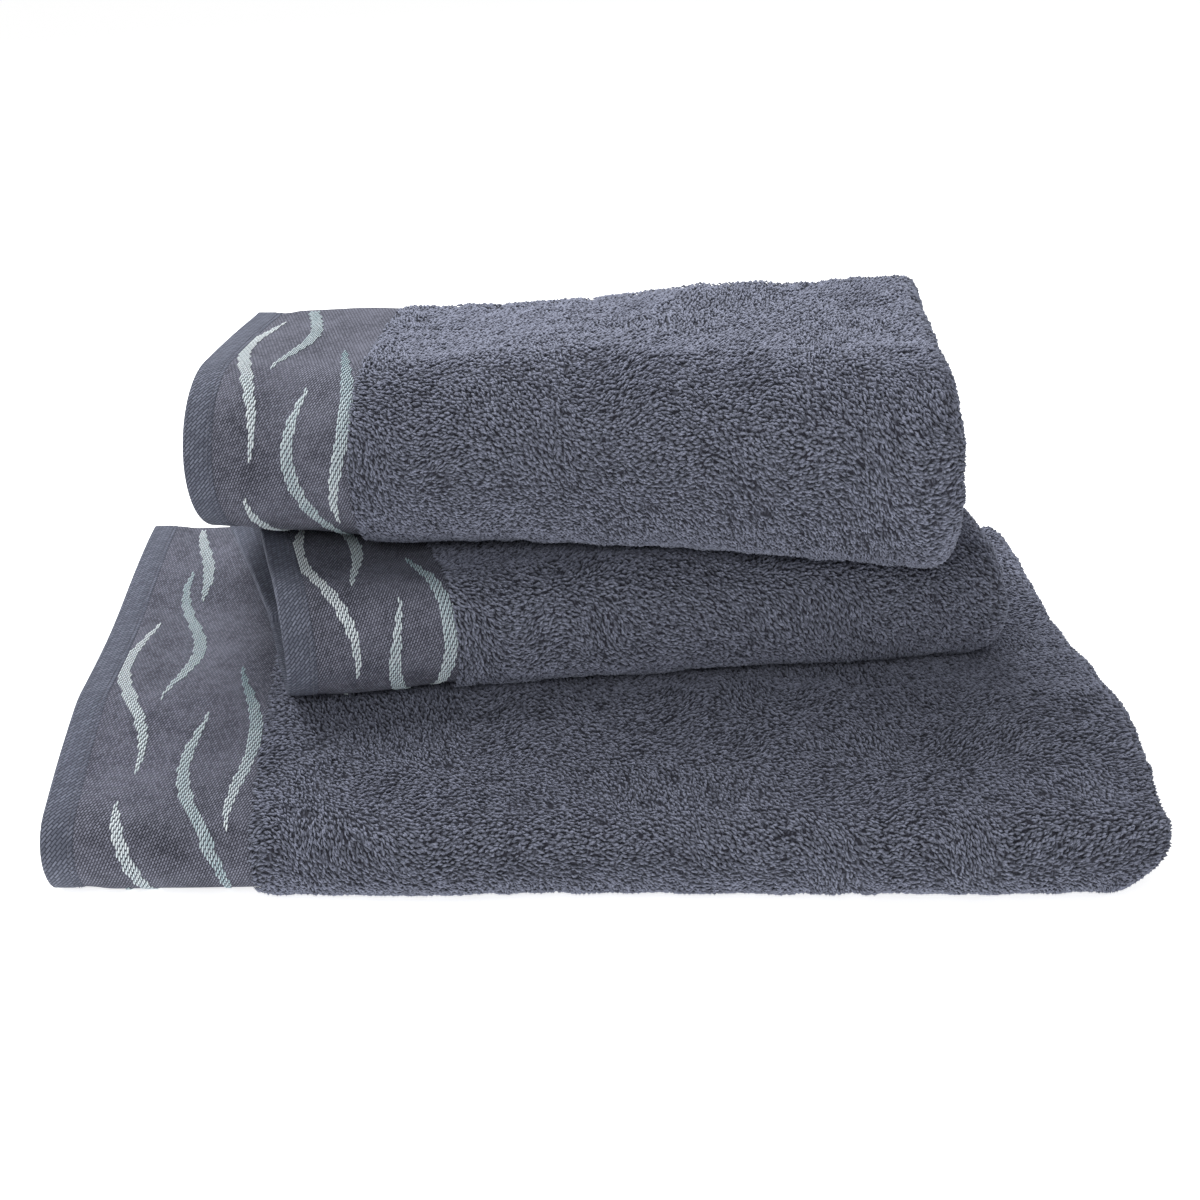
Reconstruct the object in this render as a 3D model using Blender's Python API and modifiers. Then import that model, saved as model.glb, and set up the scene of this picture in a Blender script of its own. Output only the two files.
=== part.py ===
"""Bath towel set: one bath towel with two hand towels lying on it, each folded to a thick bundle.

Every towel is one long terry cloth. Its two ends carry a flat woven border and a stitched hem, and its two
long sides a woven selvedge. Each is folded in thirds along its length, so that one hem lies outside at the
left and the other is tucked in, and then across its width, with a round fold at the front.
Metres, +Z up, origin under the middle of the stack.
"""

import math

import bmesh
import bpy
from mathutils import Vector

# The cut of the cloth
BATH_WIDTH = 0.700
BATH_LENGTH = 1.400
HAND_WIDTH = 0.500
HAND_LENGTH = 1.000

# Its make-up
PILE_THICKNESS = 0.0056
BORDER_THICKNESS = 0.0022
HEM_THICKNESS = 0.0034
SELVEDGE_THICKNESS = 0.0020
BATH_BORDER_WIDTH = 0.075
HAND_BORDER_WIDTH = 0.064
HEM_WIDTH = 0.014
SELVEDGE_WIDTH = 0.005
STITCH_WIDTH = 0.0012
STITCH_THICKNESS = 0.0006
STITCH_INSET = 0.0025
SEAM_GAP = 0.0003

# How it is folded
PLY_GAP = 0.0010
TOP_PLY_GAP = 0.0021
FOLD_CLEARANCE = 0.0004
LEFT_FOLD_INSET = 0.012
TUCKED_END_INSET = 0.010
BATH_FRONT_RADIUS = 0.0210
BATH_SLOPE = math.radians(13)
BATH_BEND_RADIUS = 0.060
TOP_SELVEDGE_INSET = 0.004
TUCK_CLEARANCE = 0.004

# How the towels lie on each other
REST_GAP = 0.0003
BATH_SKEW = 0.07
MIDDLE_SETBACK = 0.0855
MIDDLE_SHIFT = 0.012
MIDDLE_TURN = math.radians(8.1)
MIDDLE_SKEW = 0.16
TOP_SETBACK = 0.0945
TOP_SHIFT = -0.005
TOP_TURN = math.radians(-5.3)
TOP_SWELL = 0.20

# How finely the folds are drawn
FRONT_FOLD_STEPS = 10
BACK_FOLD_STEPS = 8
END_FOLD_STEPS = 6

SLATE = (0.115, 0.122, 0.158)
BORDER_MAUVE = (0.135, 0.138, 0.175)
HEM_SLATE = (0.115, 0.127, 0.165)
THREAD_GREY = (0.150, 0.155, 0.190)


class Route:
    """A line of straight runs and round turns in a plane, with a side that it can be stepped off to.

    Turns to the left count as positive. A run or turn is stored at the depth where its length is measured.
    """

    def __init__(self, start, heading, depth=0.0):
        self.point = Vector(start)
        self.angle = heading
        self.depth = depth
        self.legs = []
        self.marks = [0.0]

    def side(self, angle):
        return Vector((-math.sin(angle), math.cos(angle)))

    def run(self, length, steps=1):
        self.legs.append(("run", self.marks[-1], length, self.point.copy(), self.angle, 0.0))
        self.point += length * Vector((math.cos(self.angle), math.sin(self.angle)))
        self._mark(length, steps)

    def turn(self, angle, radius, steps):
        sign = math.copysign(1, angle)
        centre = self.point + sign * radius * self.side(self.angle)
        length = abs(angle) * (radius - sign * self.depth)
        self.legs.append(("turn", self.marks[-1], length, centre, self.angle, sign * radius))
        self.angle += angle
        self.point = centre - sign * radius * self.side(self.angle)
        self._mark(length, steps)

    def _mark(self, length, steps):
        start = self.marks[-1]
        self.marks += [start + length * (i + 1) / steps for i in range(steps)]

    def at(self, distance, depth=0.0):
        """The point this far along the line and this deep under it."""
        leg = next(
            (leg for leg in self.legs if distance <= leg[1] + leg[2] + 1e-9), self.legs[-1]
        )
        kind, start, length, base, angle, radius = leg
        gone = distance - start
        if kind == "run":
            along = Vector((math.cos(angle), math.sin(angle)))
            return base + gone * along + depth * self.side(angle)
        turned = angle + gone / (radius - self.depth)
        return base - (radius - depth) * self.side(turned)


class Towel:
    """The flat sizes of one towel and the two routes that fold it."""

    def __init__(self, name, width, length, border, ply_gap, skew=0.0, swell=0.0):
        self.name = name
        self.skew = skew
        self.swell = swell
        self.width = width
        self.length = length
        self.border = border
        self.ply = PILE_THICKNESS + ply_gap
        self.outer_depth = PILE_THICKNESS / 2
        self.bundle = 2 * self.ply + PILE_THICKNESS
        self.fold_ends_in()

    def fold_ends_in(self):
        """Thirds along the length: the outer third, the third under it and the tucked third between them."""
        wide, tight = self.ply, self.ply / 2
        turns = math.pi * (wide + tight)
        insets = 2 * LEFT_FOLD_INSET + TUCKED_END_INSET
        third = (self.length - turns + insets) / 3
        self.end_route = Route((0, self.outer_depth), 0.0)
        self.end_route.run(third, 3)
        self.end_route.turn(math.pi, wide, END_FOLD_STEPS)
        self.end_route.run(third - LEFT_FOLD_INSET, 3)
        self.end_route.turn(math.pi, tight, END_FOLD_STEPS)
        self.end_route.run(third - LEFT_FOLD_INSET - TUCKED_END_INSET, 3)
        self.span = third + wide + PILE_THICKNESS / 2

    def fold_in_thirds(self, slope=0.0, front_radius=None, bend_radius=0.0):
        """The outer flap over the tucked flap over the base, from the outer selvedge to the tucked one."""
        back_radius = self.bundle + FOLD_CLEARANCE
        height = 2 * back_radius + self.bundle + FOLD_CLEARANCE
        front_radius = front_radius or height / 2
        rise = height - front_radius * (1 + math.cos(slope)) - bend_radius * (1 - math.cos(slope))
        slope_run = max(rise, 0.0) / math.sin(slope) if slope else 0.0
        slope_reach = slope_run * math.cos(slope) + (bend_radius - front_radius) * math.sin(slope)
        flat_start = front_radius + slope_reach
        tuck = max(flat_start, front_radius) + TUCK_CLEARANCE
        depth = self.outer_depth
        turns = (math.pi - slope) * (front_radius - depth) + math.pi * (back_radius - depth)
        turns += slope * (bend_radius - depth)
        edges = flat_start + TOP_SELVEDGE_INSET + front_radius + back_radius + back_radius + tuck
        self.depth = (self.width - turns - slope_run + edges) / 3
        route = Route((self.depth - TOP_SELVEDGE_INSET, height), math.pi, depth)
        route.run(self.depth - TOP_SELVEDGE_INSET - flat_start, 2)
        if slope:
            route.turn(slope, bend_radius, 2)
            route.run(slope_run)
        route.turn(math.pi - slope, front_radius, FRONT_FOLD_STEPS)
        route.run(self.depth - front_radius - back_radius, 2)
        route.turn(math.pi, back_radius, BACK_FOLD_STEPS)
        route.run(self.depth - back_radius - tuck, 2)
        self.width_route, self.height = route, height

    def fold_in_quarters(self):
        """Folded in half and in half again, so that the front fold wraps a second fold inside it."""
        back_radius = self.bundle + FOLD_CLEARANCE
        inner_radius = 2 * FOLD_CLEARANCE
        front_radius = 2 * back_radius + inner_radius
        depth = self.outer_depth
        turns = math.pi * (front_radius + back_radius + inner_radius - depth)
        edges = 3 * front_radius + 2 * back_radius + 2 * TOP_SELVEDGE_INSET + front_radius
        self.depth = (self.width - turns + edges) / 4
        self.height = 2 * front_radius
        route = Route((self.depth - TOP_SELVEDGE_INSET, self.height), math.pi, depth)
        route.run(self.depth - TOP_SELVEDGE_INSET - front_radius, 2)
        route.turn(math.pi, front_radius, FRONT_FOLD_STEPS)
        route.run(self.depth - front_radius - back_radius, 2)
        route.turn(math.pi, back_radius, BACK_FOLD_STEPS)
        route.run(self.depth - front_radius - back_radius, 2)
        route.turn(-math.pi, inner_radius, BACK_FOLD_STEPS)
        route.run(self.depth - TOP_SELVEDGE_INSET - front_radius, 2)
        self.width_route = route

    def fold(self, along, across):
        """Where a point of the flat cloth comes to lie: x from the left end, y from the front, z from the base."""
        x, under = self.end_route.at(along)
        y, z = self.width_route.at(across, under)
        x -= self.span / 2
        y -= self.depth / 2
        z += (z - self.outer_depth) * self.swell * x / self.span
        return Vector((x - self.skew * y, y, z))


def material(name, colour, roughness):
    made = bpy.data.materials.new(name)
    made.use_nodes = True
    shader = made.node_tree.nodes["Principled BSDF"]
    shader.inputs["Base Color"].default_value = (*colour, 1)
    shader.inputs["Roughness"].default_value = roughness
    shader.inputs["Metallic"].default_value = 0
    made.diffuse_color = (*colour, 1)
    return made


def stops(marks, start, end):
    """The marks between two ends, with the ends, and none so near an end that it would leave a sliver."""
    sliver = 0.0008
    inside = [mark for mark in marks if start + sliver < mark < end - sliver]
    return [start, *inside, end]


def cloth_piece(towel, part, along, across, thickness, finish, parent, lift=0.0):
    """One piece of the cloth between two distances along and across it, folded and given its thickness."""
    columns = stops(towel.end_route.marks, *along)
    rows = stops(towel.width_route.marks, *across)
    mesh = bpy.data.meshes.new(f"{towel.name}_{part}")
    grid = bmesh.new()
    bmesh.ops.create_grid(grid, x_segments=len(columns) - 1, y_segments=len(rows) - 1, size=0.5)
    for vertex in grid.verts:
        column = round((vertex.co.x + 0.5) * (len(columns) - 1))
        row = round((vertex.co.y + 0.5) * (len(rows) - 1))
        vertex.co = towel.fold(columns[column], rows[row])
    # The pile's outer side is the one that the grid's faces point to.
    bmesh.ops.reverse_faces(grid, faces=grid.faces)
    grid.to_mesh(mesh)
    grid.free()
    mesh.shade_smooth()
    mesh.materials.append(finish)
    piece = bpy.data.objects.new(mesh.name, mesh)
    collection.objects.link(piece)
    piece.parent = parent
    shell = piece.modifiers.new("thickness", "SOLIDIFY")
    shell.thickness = thickness
    shell.offset = 0 if not lift else 1 + 2 * lift / thickness
    shell.use_even_offset = True
    shell.use_quality_normals = True
    return piece


def end_pieces(towel, end, parent):
    """The border, hem and hem stitching of the outer or the tucked end of a towel."""
    at_start = end == "outer"

    def measured(near, far):
        return (near, far) if at_start else (towel.length - far, towel.length - near)

    whole = (0, towel.width)
    pile_start = HEM_WIDTH + towel.border
    cloth_piece(
        towel, f"hem_{end}", measured(0, HEM_WIDTH - SEAM_GAP), whole, HEM_THICKNESS, hem_cloth, parent
    )
    cloth_piece(
        towel, f"border_{end}", measured(HEM_WIDTH, pile_start - SEAM_GAP), whole,
        BORDER_THICKNESS, border_cloth, parent,
    )
    stitch_end = HEM_WIDTH - STITCH_INSET
    cloth_piece(
        towel, f"hem_stitching_{end}", measured(stitch_end - STITCH_WIDTH, stitch_end), whole,
        STITCH_THICKNESS, thread, parent, lift=HEM_THICKNESS / 2 + SEAM_GAP,
    )
    return pile_start


def build_towel(towel, parent):
    pile_start = end_pieces(towel, "outer", parent)
    end_pieces(towel, "tucked", parent)
    pile_length = (pile_start, towel.length - pile_start)
    inside = (SELVEDGE_WIDTH + SEAM_GAP, towel.width - SELVEDGE_WIDTH - SEAM_GAP)
    cloth_piece(towel, "pile_cloth", pile_length, inside, PILE_THICKNESS, pile, parent)
    for name, across in (
        ("outer", (0, SELVEDGE_WIDTH)),
        ("tucked", (towel.width - SELVEDGE_WIDTH, towel.width)),
    ):
        cloth_piece(
            towel, f"selvedge_{name}", pile_length, across, SELVEDGE_THICKNESS, border_cloth, parent
        )


def carrier(towel, parent, place, turn):
    """The empty that a towel hangs on, where the towel lies and turned about +Z."""
    empty = bpy.data.objects.new(f"{towel.name}_carrier", None)
    collection.objects.link(empty)
    empty.parent = parent
    empty.location = place
    empty.rotation_euler.z = turn
    return empty


for old in list(bpy.data.objects):
    bpy.data.objects.remove(old, do_unlink=True)

collection = bpy.data.collections.new("bath_towel_set")
bpy.context.scene.collection.children.link(collection)

pile = material("terry pile", SLATE, 0.95)
border_cloth = material("woven border", BORDER_MAUVE, 0.85)
hem_cloth = material("hem", HEM_SLATE, 0.85)
thread = material("sewing thread", THREAD_GREY, 0.6)

bath = Towel("bath_towel", BATH_WIDTH, BATH_LENGTH, BATH_BORDER_WIDTH, PLY_GAP, skew=BATH_SKEW)
bath.fold_in_thirds(BATH_SLOPE, BATH_FRONT_RADIUS, BATH_BEND_RADIUS)
middle = Towel(
    "hand_towel_middle", HAND_WIDTH, HAND_LENGTH, HAND_BORDER_WIDTH, PLY_GAP, skew=MIDDLE_SKEW
)
middle.fold_in_thirds()
top = Towel(
    "hand_towel_top", HAND_WIDTH, HAND_LENGTH, HAND_BORDER_WIDTH, TOP_PLY_GAP, swell=TOP_SWELL
)
top.fold_in_quarters()

stack = bpy.data.objects.new("towel_stack", None)
collection.objects.link(stack)

bath_front = -bath.depth / 2
middle_place = Vector(
    (MIDDLE_SHIFT, bath_front + MIDDLE_SETBACK + middle.depth / 2, bath.height + REST_GAP)
)
top_place = Vector(
    (TOP_SHIFT, bath_front + TOP_SETBACK + top.depth / 2, middle_place.z + middle.height + REST_GAP)
)
build_towel(bath, carrier(bath, stack, Vector(), 0.0))
build_towel(middle, carrier(middle, stack, middle_place, MIDDLE_TURN))
build_towel(top, carrier(top, stack, top_place, TOP_TURN))

# The origin goes under the middle of the whole stack.
bpy.context.view_layer.update()
graph = bpy.context.evaluated_depsgraph_get()
corners = []
for piece in collection.objects:
    if piece.type != "MESH":
        continue
    shown = piece.evaluated_get(graph)
    corners += [shown.matrix_world @ vertex.co for vertex in shown.data.vertices]
low = [min(corner[axis] for corner in corners) for axis in range(3)]
high = [max(corner[axis] for corner in corners) for axis in range(3)]
stack.location = (-(low[0] + high[0]) / 2, -(low[1] + high[1]) / 2, -low[2])
bpy.context.view_layer.update()
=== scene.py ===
"""Bath towel set: a folded bath towel with two folded hand towels on it, made as the towels are made.

Each towel is one terry cloth with loops on both faces, a flat woven border with wavy strokes of thread near
each end, a turned-in hem at each end and a woven selvedge down each side. Metres, +Z up.
"""

import math

import bpy
import numpy as np
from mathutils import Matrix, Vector


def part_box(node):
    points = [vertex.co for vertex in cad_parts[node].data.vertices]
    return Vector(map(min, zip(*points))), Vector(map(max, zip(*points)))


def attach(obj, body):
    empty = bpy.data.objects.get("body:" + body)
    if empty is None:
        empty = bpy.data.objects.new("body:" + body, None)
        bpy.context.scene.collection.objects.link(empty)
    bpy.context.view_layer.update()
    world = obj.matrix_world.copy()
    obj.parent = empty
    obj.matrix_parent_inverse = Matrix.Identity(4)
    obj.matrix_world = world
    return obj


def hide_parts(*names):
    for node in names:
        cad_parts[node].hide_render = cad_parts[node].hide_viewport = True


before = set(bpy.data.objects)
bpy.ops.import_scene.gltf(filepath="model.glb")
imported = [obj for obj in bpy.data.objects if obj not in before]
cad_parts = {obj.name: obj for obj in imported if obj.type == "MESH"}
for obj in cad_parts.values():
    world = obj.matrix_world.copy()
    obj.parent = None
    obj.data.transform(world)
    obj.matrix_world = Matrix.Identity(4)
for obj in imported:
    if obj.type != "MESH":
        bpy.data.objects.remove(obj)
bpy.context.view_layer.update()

# ----------------------------------------------------------------------------------------------------------
# How the towels are folded and laid. A mill folds each towel in thirds along its length, so that one hem
# shows at the left and the other is tucked in, and then across its width, in thirds or in quarters, with
# a round fold at the front. The stack then settles, so that all of its towels share the same soft waves.
# ----------------------------------------------------------------------------------------------------------

TERRY_THICKNESS = 0.0056
HEM_WIDTH = 0.014
SELVEDGE_WIDTH = 0.005
SEAM_GAP = 0.0003
FOLD_CLEARANCE = 0.0004
LEFT_FOLD_INSET = 0.012
TUCKED_END_INSET = 0.010
SELVEDGE_INSET = 0.004
TUCK_CLEARANCE = 0.004


def smooth_step(value):
    value = np.clip(value, 0, 1)
    return value * value * (3 - 2 * value)


def rising(value, start, width):
    """From 0 at start up to 1 at start + width, with soft ends."""
    return smooth_step((value - start) / width)


class Route:
    """A line of straight runs and round turns in a plane, with a side that the cloth is stepped off to."""

    def __init__(self, start, heading, depth):
        self.point = np.array(start, float)
        self.angle = heading
        self.depth = depth
        self.bases = []
        self.angles = []
        self.radii = []
        self.marks = [0.0]

    def side(self, angle):
        return np.stack([-np.sin(angle), np.cos(angle)], -1)

    def add_leg(self, base, radius, length):
        self.bases.append(base)
        self.angles.append(self.angle)
        self.radii.append(radius)
        self.marks.append(self.marks[-1] + length)

    def run(self, length):
        self.add_leg(self.point.copy(), 0.0, length)
        self.point = self.point + length * np.array([math.cos(self.angle), math.sin(self.angle)])

    def turn(self, angle, radius):
        signed = math.copysign(radius, angle)
        centre = self.point + signed * self.side(self.angle)
        self.add_leg(centre, signed, angle * (signed - self.depth) * math.copysign(1, signed * angle))
        self.angle += angle
        self.point = centre - signed * self.side(self.angle)

    def at(self, distance, depth):
        """The points this far along the line and this deep under it."""
        distance, depth = np.broadcast_arrays(distance, depth)
        leg = np.clip(np.searchsorted(self.marks, distance, side="right") - 1, 0, len(self.radii) - 1)
        base = np.array(self.bases)[leg]
        angle = np.array(self.angles)[leg]
        radius = np.array(self.radii)[leg]
        gone = distance - np.array(self.marks)[leg]
        straight = radius == 0
        turned = angle + np.where(straight, 0, gone / np.where(straight, 1, radius - self.depth))
        along = np.stack([np.cos(angle), np.sin(angle)], -1)
        on_runs = base + gone[..., None] * along + depth[..., None] * self.side(angle)
        on_turns = base - (radius - depth)[..., None] * self.side(turned)
        return np.where(straight[..., None], on_runs, on_turns)


class Towel:
    """A flat cloth of a width and a length, and how it lies when it is folded."""

    def __init__(self, body, width, length, border, ply_gap, turn=0.0, skew=0.0, swell=0.0, askew=0.0):
        self.body = body
        self.width = width
        self.length = length
        self.border = border
        self.turn = turn
        self.skew = skew
        self.swell = swell
        self.askew = askew
        self.pile_start = HEM_WIDTH + border
        self.skin = TERRY_THICKNESS / 2
        self.ply = TERRY_THICKNESS + ply_gap
        self.bundle = 2 * self.ply + TERRY_THICKNESS
        self.place = np.zeros(3)
        turns = math.pi * (self.ply + self.ply / 2)
        self.third = (length - turns + 2 * LEFT_FOLD_INSET + TUCKED_END_INSET) / 3
        self.ends = Route((0, self.skin), 0.0, 0.0)
        self.ends.run(self.third)
        self.ends.turn(math.pi, self.ply)
        self.ends.run(self.third - LEFT_FOLD_INSET)
        self.ends.turn(math.pi, self.ply / 2)
        self.ends.run(self.third - LEFT_FOLD_INSET - TUCKED_END_INSET)
        self.span = self.third + self.ply + TERRY_THICKNESS / 2

    def fold_in_thirds(self, slope=0.0, front_radius=None, bend_radius=0.0):
        back_radius = self.bundle + FOLD_CLEARANCE
        height = 2 * back_radius + self.bundle + FOLD_CLEARANCE
        front_radius = front_radius or height / 2
        rise = height - front_radius * (1 + math.cos(slope)) - bend_radius * (1 - math.cos(slope))
        slope_run = max(rise, 0.0) / math.sin(slope) if slope else 0.0
        reach = slope_run * math.cos(slope) + (bend_radius - front_radius) * math.sin(slope)
        flat_start = front_radius + reach
        tuck = max(flat_start, front_radius) + TUCK_CLEARANCE
        turns = (math.pi - slope) * (front_radius - self.skin) + math.pi * (back_radius - self.skin)
        turns += slope * (bend_radius - self.skin)
        edges = flat_start + SELVEDGE_INSET + front_radius + back_radius + back_radius + tuck
        self.depth = (self.width - turns - slope_run + edges) / 3
        route = Route((self.depth - SELVEDGE_INSET, height), math.pi, self.skin)
        route.run(self.depth - SELVEDGE_INSET - flat_start)
        if slope:
            route.turn(slope, bend_radius)
            route.run(slope_run)
        route.turn(math.pi - slope, front_radius)
        self.front_end = route.marks[-1]
        route.run(self.depth - front_radius - back_radius)
        self.back_start = route.marks[-1]
        route.turn(math.pi, back_radius)
        self.back_end = route.marks[-1]
        route.run(self.depth - back_radius - tuck)
        self.across = route
        self.height = height

    def fold_in_quarters(self):
        back_radius = self.bundle + FOLD_CLEARANCE
        inner_radius = 2 * FOLD_CLEARANCE
        front_radius = 2 * back_radius + inner_radius
        turns = math.pi * (front_radius + back_radius + inner_radius - self.skin)
        edges = 4 * front_radius + 2 * back_radius + 2 * SELVEDGE_INSET
        self.depth = (self.width - turns + edges) / 4
        self.height = 2 * front_radius
        route = Route((self.depth - SELVEDGE_INSET, self.height), math.pi, self.skin)
        route.run(self.depth - SELVEDGE_INSET - front_radius)
        route.turn(math.pi, front_radius)
        self.front_end = route.marks[-1]
        route.run(self.depth - front_radius - back_radius)
        self.back_start = route.marks[-1]
        route.turn(math.pi, back_radius)
        self.back_end = route.marks[-1]
        route.run(self.depth - front_radius - back_radius)
        route.turn(-math.pi, inner_radius)
        route.run(self.depth - SELVEDGE_INSET - front_radius)
        self.across = route

    def folded(self, along, across, depth):
        """Where points of the flat cloth come to lie. Depth is measured in from the middle of the cloth."""
        on_end = self.ends.at(along, depth)
        on_side = self.across.at(across, on_end[..., 1])
        x = on_end[..., 0] - self.span / 2
        y = on_side[..., 0] - self.depth / 2
        z = on_side[..., 1]
        z = z + (z - self.skin) * self.swell * x / self.span
        x = x - self.skew * y
        tucked_in = rising(across, self.back_start, self.back_end - self.back_start)
        x = x - self.askew * tucked_in * (y + self.depth / 2)
        cosine, sine = math.cos(self.turn), math.sin(self.turn)
        return np.stack([x * cosine - y * sine, x * sine + y * cosine, z], -1) + self.place

    def seat(self):
        """Moves the towel to where its solid lies, by the middle and the underside of that solid's box."""
        samples = 300
        along = np.linspace(self.pile_start, self.length - self.pile_start, samples)
        across = np.linspace(SELVEDGE_WIDTH, self.width - SELVEDGE_WIDTH, samples)
        askew, self.askew = self.askew, 0.0
        faces = [self.folded(along[:, None], across, side * self.skin) for side in (-1, 1)]
        points = np.concatenate(faces).reshape(-1, 3)
        self.askew = askew
        low, high = (np.array(corner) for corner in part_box(f"{self.body}_pile_cloth"))
        self.place = (low + high - points.min(0) - points.max(0)) / 2
        self.place[2] = low[2] - points[:, 2].min()
        self.low, self.high = low, high

    def lie(self, along, across, depth):
        """Where points of the cloth lie in the stack, once it has settled."""
        return settle(self.shape(self.folded(along, across, depth)))

    def shape(self, points):
        return points


class BathTowel(Towel):
    TOP_PUFF = 0.006
    BACK_SLACK = 0.012
    END_BULGE = 0.004
    CORNER_ROUND = 0.014
    LEFT_SPREAD = 0.003
    FRONT_LIFT = 0.002

    def shape(self, points):
        """Nothing presses on the back of its top, so it puffs up there. Its lower right corner is round."""
        x, y, z = np.moveaxis(points, -1, 0)
        back = rising(y, 0.02, 0.10)
        share = np.clip(z / self.height, 0, 1)
        z = z + self.TOP_PUFF * back * share
        y = y + self.BACK_SLACK * back
        right = rising(x, self.high[0] - 0.060, 0.060)
        low_corner = rising(x, self.high[0] - 0.030, 0.030) * rising(-z, -0.034, 0.034)
        left = rising(-x, -self.low[0] - 0.060, 0.060)
        front = rising(-y, -0.02, 0.12)
        bulge = self.END_BULGE * (1 + front) * right * rising(z, 0.015, 0.040)
        x = x + bulge - self.CORNER_ROUND * low_corner - self.LEFT_SPREAD * left * front
        y = y + self.FRONT_LIFT * rising(-z, -0.040, 0.040)
        return np.stack([x, y, z], -1)


class MiddleTowel(Towel):
    END_DRAW = 0.010
    END_ROUND = 0.004
    BACK_RISE = 0.003

    def shape(self, points):
        """Its right end is drawn in and rounded at the front, and stands up a little at the back."""
        x, y, z = np.moveaxis(points, -1, 0)
        share = np.clip((z - self.low[2]) / self.height, 0, 1)
        right = rising(x, self.high[0] - 0.090, 0.090)
        front = rising(-y, -self.low[1] - 0.110, 0.090)
        x = x - right * front * (self.END_DRAW + self.END_ROUND * (1 - np.sin(math.pi * share)))
        z = z + self.BACK_RISE * right * (1 - front) * share
        return np.stack([x, y, z], -1)


class TopTowel(Towel):
    BACK_RISE = 0.010
    TOP_DOME = 0.0035
    BACK_PUFF = 0.0022
    END_LEAN = 0.009
    TOP_LEAN = 0.004
    FRONT_ROLL = 0.003
    FRONT_DROOP = 0.008

    def shape(self, points):
        """Its right end stands up at the back and hangs at the front, past the towel under it."""
        x, y, z = np.moveaxis(points, -1, 0)
        share = np.clip((z - self.low[2]) / self.height, 0, 1)
        right = rising(x, -0.02, self.high[0] + 0.02)
        end = rising(x, self.high[0] - 0.07, 0.07)
        back = rising(y, self.low[1] + 0.05, 0.09)
        front = rising(-y, -self.low[1] - 0.045, 0.045)
        dome = np.sin(math.pi * np.clip((y - self.low[1]) / (self.high[1] - self.low[1]), 0, 1))
        z = z + (self.BACK_RISE * right * back + self.TOP_DOME * dome + self.BACK_PUFF * back) * share
        lean = self.END_LEAN * rising(y, self.low[1] + 0.02, 0.09) + self.TOP_LEAN * share
        x = x - lean * end * share
        roll = rising(-y, -self.low[1] - 0.07, 0.05) * np.sin(math.pi * share)
        x = x + self.FRONT_ROLL * end * roll
        z = z - self.FRONT_DROOP * right * front * (1 - share)
        return np.stack([x, y, z], -1)


WAVE_HEIGHT = 0.0016
FRONT_WAVE = 0.00132
FLOOR_CLEARANCE = 0.0001


def settle(points):
    """Soft waves that run through the whole stack. There are none at the surface that it lies on."""
    x, y, z = np.moveaxis(points, -1, 0)
    share = np.clip(z / 0.06, 0, 1)
    wave = np.sin(21 * x + 1.1) * np.cos(17 * y - 0.6) + 0.5 * np.sin(43 * x - 31 * y + 2.0)
    front = np.sin(26 * x + 0.4) + 0.6 * np.sin(57 * x + 35 * z + 1.9)
    z = z + WAVE_HEIGHT * share * wave
    y = y + FRONT_WAVE * front * rising(z, 0, 0.015)
    return np.stack([x, y, np.maximum(z, FLOOR_CLEARANCE)], -1)


bath = BathTowel("bath_towel", 0.700, 1.400, border=0.075, ply_gap=0.0010, skew=0.07)
bath.fold_in_thirds(slope=math.radians(13), front_radius=0.021, bend_radius=0.060)
middle = MiddleTowel(
    "hand_towel_middle", 0.500, 1.000, border=0.064, ply_gap=0.0010, turn=math.radians(8.1), skew=0.16,
    askew=0.085,
)
middle.fold_in_thirds()
top = TopTowel(
    "hand_towel_top", 0.500, 1.000, border=0.064, ply_gap=0.0021, turn=math.radians(-5.3), swell=0.20
)
top.fold_in_quarters()
towels = (bath, middle, top)
for towel in towels:
    towel.seat()

# ----------------------------------------------------------------------------------------------------------
# The terry cloths: cotton woven with uncut loops on both faces, dyed slate blue. The loops stand in soft
# clumps, so that the face is uneven all over, and lie down towards the woven ends.
# ----------------------------------------------------------------------------------------------------------

rng = np.random.default_rng(7)


class SoftNoise:
    """Smooth random ups and downs over the flat cloth, about one wave long each way, from -1 to 1."""

    def __init__(self, wave, size=(1.5, 0.8)):
        self.wave = wave
        shape = [int(side / wave) + 4 for side in size]
        self.values = rng.uniform(-1, 1, shape)

    def at(self, along, across):
        along, across = np.broadcast_arrays(along, across)
        column, row = along / self.wave + 1, across / self.wave + 1
        i = np.clip(column.astype(int), 0, self.values.shape[0] - 2)
        j = np.clip(row.astype(int), 0, self.values.shape[1] - 2)
        s, t = smooth_step(column - i), smooth_step(row - j)
        near = self.values[i, j] * (1 - s) + self.values[i + 1, j] * s
        far = self.values[i, j + 1] * (1 - s) + self.values[i + 1, j + 1] * s
        return near * (1 - t) + far * t


def spaced(start, end, marks, fine, coarse):
    """Distances from start to end: a fine step between the two marks of each pair, a coarse one elsewhere."""
    stops = sorted({start, end, *(min(max(mark, start), end) for pair in marks for mark in pair)})
    found = [start]
    for near, far in zip(stops, stops[1:]):
        middle_of = (near + far) / 2
        step = fine if any(low <= middle_of <= high for low, high in marks) else coarse
        count = max(1, math.ceil((far - near) / step))
        found += list(near + (far - near) * np.arange(1, count + 1) / count)
    return np.array(found)


def evenly(start, end, step):
    """Distances from start to end in equal steps, none longer than this one."""
    return spaced(start, end, [], step, step)


def level(depth):
    """A face that lies at one depth all over."""
    return lambda u, v: depth + 0 * u


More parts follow.
